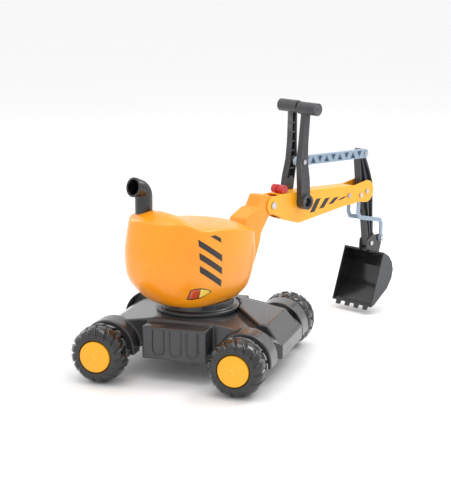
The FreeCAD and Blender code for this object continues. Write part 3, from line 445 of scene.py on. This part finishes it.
# ---- cab: a saddle on a pot, with a soft crease between the two ----

# Height share, length behind the widest place, length ahead of it, half width, as shares.
CAB_PLANS = [
    (0.00, 0.48, 0.76, 0.78), (0.09, 0.67, 0.89, 0.90), (0.28, 0.93, 0.97, 0.98),
    (0.50, 1.00, 1.00, 1.00), (0.70, 0.98, 0.98, 0.97), (1.04, 0.88, 0.87, 0.88),
]
# Place along x over the front length, seat height share, fall to the sides.
CAB_SEAT = [
    (-1.12, 0.86, 0.14), (-0.90, 0.94, 0.13), (-0.65, 1.00, 0.13), (-0.40, 0.93, 0.12),
    (-0.13, 0.86, 0.06), (0.22, 0.82, 0.07), (0.55, 0.75, 0.11), (0.85, 0.60, 0.15),
]
cab_low, cab_high = (Vector(corner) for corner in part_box("cab_shell"))
REAR_SHARE = 136 / 310
CAB_WIDEST = cab_low.x + (cab_high.x - cab_low.x) * REAR_SHARE
CAB_REAR = CAB_WIDEST - cab_low.x
CAB_FRONT = cab_high.x - CAB_WIDEST
CAB_WIDTH = (cab_high.y - cab_low.y) / 2
CAB_HEIGHT = 0.202
SEAT_LENGTH = 0.174
CAB_COLUMNS = 144


def seat_height(x, y):
    place = x / SEAT_LENGTH
    top = between(CAB_SEAT, place, 1)
    fall = between(CAB_SEAT, place, 2)
    return cab_low.z + CAB_HEIGHT * (top - fall * (y / CAB_WIDTH) ** 2) - 0.0005


def cab_point(angle, share, grow=0.0):
    rear = between(CAB_PLANS, share, 1)
    front = between(CAB_PLANS, share, 2)
    width = between(CAB_PLANS, share, 3)
    cosine, sine = math.cos(angle), math.sin(angle)
    blend = smoothstep(-0.35, 0.35, cosine)
    roundness = 2.4 + 0.3 * blend
    length = CAB_FRONT * front if cosine > 0 else CAB_REAR * rear
    x = math.copysign(abs(cosine) ** (2 / roundness), cosine) * (length + grow)
    y = math.copysign(abs(sine) ** (2 / roundness), sine) * (CAB_WIDTH * width + grow)
    return CAB_WIDEST + x, y


def cab_mesh():
    """Walls up to the seat's edge, then the seat drawn in towards the middle."""
    points = []
    wall_rows = 44
    for row in range(wall_rows + 1):
        for column in range(CAB_COLUMNS):
            angle = 2 * math.pi * column / CAB_COLUMNS
            share = 0.8
            for _ in range(12):
                x, y = cab_point(angle, share)
                share += ((seat_height(x, y) - cab_low.z) / CAB_HEIGHT - share) * 0.8
            here = share * (row / wall_rows) ** 0.9
            x, y = cab_point(angle, here)
            points.append(Vector((x, y, cab_low.z + here * CAB_HEIGHT)))
    crease = points[-CAB_COLUMNS:]
    seat_rows = 22
    for row in range(1, seat_rows + 1):
        draw = 1 - (row / seat_rows) * 0.985
        for edge in crease:
            x = CAB_WIDEST + 0.02 + (edge.x - CAB_WIDEST - 0.02) * draw
            y = edge.y * draw
            points.append(Vector((x, y, seat_height(x, y))))
    rows = wall_rows + 1 + seat_rows
    faces = ring_faces(rows, CAB_COLUMNS)
    faces.append(tuple(range((rows - 1) * CAB_COLUMNS, rows * CAB_COLUMNS)))
    faces.append(tuple(range(CAB_COLUMNS)))
    return mesh_from("cab_moulding", points, faces)


cab = new_piece("cab_moulding", cab_mesh(), "cab", YELLOW)
melt = cab.modifiers.new("soften", "SMOOTH")
melt.factor = 0.5
melt.iterations = 5
applied(cab)
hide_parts("cab_shell")


# ---- soft blow-moulded pieces and rounded injection-moulded ones ----

chassis = remoulded("chassis_shell", "chassis", ANTHRACITE, 0.0018, 12)
SIDE_FACE = 0.1465
GROOVE_TOP = 0.112


def groove_depth(ahead, height):
    """Depth of three U-shaped grooves pressed into the outer face of a side block."""
    depth = 0.0
    for centre in (-0.036, 0.002, 0.040):
        off = abs(ahead - centre)
        bend = 0.068
        if height > bend:
            away = abs(off - 0.0125)
        else:
            away = abs(math.hypot(off, height - bend) - 0.0125)
        if height > 0.108:
            away = max(away, height - 0.108)
        depth = max(depth, 1 - smoothstep(0.0008, 0.0030, away))
    return depth * 0.0022


for point in chassis.data.vertices:
    sideways = point.co.dot(roll_axis)
    if abs(sideways) > SIDE_FACE and point.co.z < GROOVE_TOP:
        press = groove_depth(point.co.dot(forward), point.co.z)
        point.co -= roll_axis * math.copysign(press, sideways)
remoulded("lower_boom", "cab", YELLOW, 0.0016, 34)
rounded("turntable_post", "chassis", ANTHRACITE, 0.0025, 4)
rounded("exhaust_pipe", "cab", GLOSS_BLACK, 0.0009, 3)
booms = [remoulded("boom_half_left", "boom", BOOM_YELLOW, 0.0012, 12),
         remoulded("boom_half_right", "boom", BOOM_YELLOW, 0.0012, 12)]


def grip_end(point):
    return abs(abs(point.y) - 0.062) < 0.0006 and point.z > 0.49


for lever, body in (("dig_lever", "dig_lever"), ("lift_lever", "boom")):
    rounded(lever, body, LEVER_GREY, 0.0018, 4, grip_end, 0.0055)
rounded("upper_link", "link", BLUE_GREY, 0.0006, 3)
rounded("dipper_arm", "dipper", LEVER_GREY, 0.0008, 3)
rounded("bucket_rod_left", "rods", BLUE_GREY, 0.0009, 3)
rounded("bucket_rod_right", "rods", BLUE_GREY, 0.0009, 3)
bucket = rounded("bucket_shell", "bucket", GLOSS_BLACK, 0.0009, 3)
# Painted highlight: the bucket's outer side faces take the lighter grey lever plastic to stand for
# their lit look, while the gloss black elsewhere stands for the shaded inside as painted shade.
bucket.data.materials.append(LEVER_GREY)
for face in bucket.data.polygons:
    if abs(face.normal.y) > 0.7 and abs(face.center.y) > 0.0592:
        face.material_index = 1
rounded("lock_knob", "lock_knob", RED, 0.0016, 4)

STEEL = ("axle_front", "axle_rear", "axle_push_nuts", "swivel_bolt", "swivel_washer",
         "swivel_nut", "knee_pin", "boom_screw", "dipper_pin", "rod_upper_pin", "lever_axle",
         "link_rear_screw", "link_front_screw", "bucket_pin", "rod_lower_pin")
for node in STEEL:
    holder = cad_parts[node]
    if not holder.data.materials:
        holder.data.materials.append(ZINC)
    for holder_slot in holder.material_slots:
        holder_slot.material = ZINC


# ---- printed decals: thin sheets laid on the mouldings ----

def surface(piece):
    depsgraph = bpy.context.evaluated_depsgraph_get()
    return BVHTree.FromObject(piece.evaluated_get(depsgraph), depsgraph)


def sheet_patches(name, patches, tree, origin, along, up, body, material, film=0.0003):
    """Ruled patches between pairs of (along, up) polylines, dropped onto a surface."""
    towards = along.cross(up).normalized()
    points, faces = [], []
    rows = 10
    for first, second in patches:
        start = len(points)
        columns = len(first)
        for row in range(rows + 1):
            share = row / rows
            for (a0, u0), (a1, u1) in zip(first, second):
                flat = (origin + along * (a0 + (a1 - a0) * share) + up * (u0 + (u1 - u0) * share))
                hit, normal, _, _ = tree.ray_cast(flat + towards * 0.4, -towards)
                if hit is None:
                    hit, normal, _, _ = tree.find_nearest(flat)
                if normal.dot(towards) < 0:
                    normal = -normal
                points.append(hit + normal * film)
        for row in range(rows):
            for column in range(columns - 1):
                corner = start + row * columns + column
                faces.append((corner, corner + 1, corner + columns + 1, corner + columns))
    mesh = bpy.data.meshes.new(name)
    mesh.from_pydata(points, [], faces)
    mesh.update()
    piece = new_piece(name, mesh, body, material)
    thick = piece.modifiers.new("film", "SOLIDIFY")
    thick.thickness = film * 0.9
    thick.offset = 0
    return piece


def line(start, end, steps=12):
    return [(start[0] + (end[0] - start[0]) * step / steps,
             start[1] + (end[1] - start[1]) * step / steps) for step in range(steps + 1)]


def flipped(patches):
    return [([(-a, u) for a, u in first], [(-a, u) for a, u in second])
            for first, second in patches]


def curve_patch(points, middle_height):
    """A patch between an outline's upper edge and its mirror image below."""
    upper = [(a, middle_height + u) for a, u in points]
    lower = [(a, middle_height - u) for a, u in points]
    return [(upper, lower)]


cab_skin = surface(cab)
BANDS = [(line((-0.088, 0.300 - 0.027 * index), (-0.026, 0.258 - 0.027 * index)),
          line((-0.088, 0.286 - 0.027 * index), (-0.026, 0.244 - 0.027 * index)))
         for index in range(3)]
BANDS.append((line((-0.056, 0.302), (-0.026, 0.284)), line((-0.042, 0.302), (-0.026, 0.293))))
LAMP = [(0.0, 0.0085), (0.008, 0.0105), (0.020, 0.0100)]
LAMP_TIP = [(0.0215, 0.0095), (0.032, 0.0068), (0.043, 0.0030), (0.0465, 0.0003)]
LAMP_EDGE = [(-0.0025, 0.0105), (0.008, 0.0127), (0.021, 0.0120), (0.033, 0.0087),
             (0.046, 0.0035), (0.0505, 0.0003)]
LAMP_PLACE = -0.104
LAMP_HEIGHT = 0.185
for side, label in ((-1, "right"), (1, "left")):
    origin = Vector((0, side * 0.1, 0))
    along = Vector((-side, 0, 0))
    shift = LAMP_PLACE
    lamp_parts = (("cab_lamp_edge_", LAMP_EDGE, INK_BLACK, 0.0002),
                  ("cab_lamp_red_", LAMP, INK_RED, 0.0004),
                  ("cab_lamp_lemon_", LAMP_TIP, INK_LEMON, 0.0004))
    stripes_here = BANDS if side < 0 else flipped(BANDS)
    sheet_patches("cab_stripes_" + label, stripes_here, cab_skin, origin, along,
                  Vector((0, 0, 1)), "cab", INK_BLACK)
    for stem, outline, ink, film in lamp_parts:
        placed = curve_patch([(shift + a, u) for a, u in outline], LAMP_HEIGHT)
        sheet_patches(stem + label, placed if side < 0 else flipped(placed), cab_skin, origin,
                      along, Vector((0, 0, 1)), "cab", ink, film)

for side, label, half in ((-1, "right", booms[1]), (1, "left", booms[0])):
    skin = surface(half)
    bands = []
    for index in range(4):
        base = 0.347 + index * 0.033
        rise = 0.014 * index / 3
        bottom = 0.277 + rise
        top = 0.306 - rise * 0.7
        bands.append((line((base, bottom), (base + 0.022, top)),
                      line((base + 0.017, bottom), (base + 0.039, top))))
    turned = bands if side < 0 else [([(-a, u) for a, u in first], [(-a, u) for a, u in second])
                                     for first, second in bands]
    sheet_patches("boom_stripes_" + label, turned, skin, Vector((0, side * 0.02, 0)),
                  Vector((1, 0, 0)) * -side, Vector((0, 0, 1)), "boom", INK_BLACK, 0.0002)


# ---- floor, light and camera ----

def floor_material():
    material = bpy.data.materials.new("studio_floor")
    material.use_nodes = True
    tree = material.node_tree
    shader = tree.nodes["Principled BSDF"]
    coords = tree.nodes.new("ShaderNodeTexCoord").outputs["Object"]
    soft = noise_node(tree, coords, 1.3, 2.0)
    link(tree, mixed(tree, soft, (0.95, 0.95, 0.952), (0.925, 0.925, 0.928)),
         shader.inputs["Base Color"])
    link(tree, mapped(tree, noise_node(tree, coords, 30.0), 0.3, 0.7, 0.5, 0.62),
         shader.inputs["Roughness"])
    shader.inputs["Specular IOR Level"].default_value = 0.2
    return material


floor_mesh = mesh_from("studio_floor", [(-30, -30, 0), (30, -30, 0), (30, 30, 0), (-30, 30, 0)],
                       [(0, 1, 2, 3)])
floor = bpy.data.objects.new("studio_floor", floor_mesh)
floor.data.materials.append(floor_material())
bpy.context.scene.collection.objects.link(floor)

world = bpy.data.worlds.new("studio")
world.use_nodes = True
world.node_tree.nodes["Background"].inputs["Color"].default_value = (1.0, 1.0, 1.0, 1.0)
world.node_tree.nodes["Background"].inputs["Strength"].default_value = 1.0
bpy.context.scene.world = world
bpy.context.scene.view_settings.view_transform = "Standard"

CAMERA_AT = Vector((-2.0593, -2.0237, 0.9499))
CAMERA_VIEW = Vector((0.7071, 0.6666, -0.2360))
target = Vector((0.15, 0.0, 0.25))
screen_right = CAMERA_VIEW.cross(Vector((0, 0, 1))).normalized()
ahead_flat = Vector((CAMERA_VIEW.x, CAMERA_VIEW.y, 0)).normalized()


def softbox(name, place, power, width, height, colour=(1, 1, 1)):
    light = bpy.data.lights.new(name, "AREA")
    light.shape = "RECTANGLE"
    light.size = width
    light.size_y = height
    light.energy = power
    light.color = colour
    holder = bpy.data.objects.new(name, light)
    holder.location = place
    holder.rotation_euler = (target - place).to_track_quat("-Z", "Y").to_euler()
    bpy.context.scene.collection.objects.link(holder)


softbox("key_box", target + screen_right * 1.5 + ahead_flat * 0.5 + Vector((0, 0, 1.9)), 26, 1.2, 1.2)
softbox("top_box", target - screen_right * 0.3 - ahead_flat * 0.2 + Vector((0, 0, 2.3)), 12, 1.6, 0.9)
softbox("rim_box", target - screen_right * 1.8 + ahead_flat * 1.3 + Vector((0, 0, 1.1)), 10, 0.8, 1.2)

camera_data = bpy.data.cameras.new("photo_camera")
camera_data.lens = 101
camera_data.sensor_width = 36
camera = bpy.data.objects.new("photo_camera", camera_data)
camera.location = CAMERA_AT
camera.rotation_euler = CAMERA_VIEW.to_track_quat("-Z", "Y").to_euler()
bpy.context.scene.collection.objects.link(camera)
bpy.context.scene.camera = camera
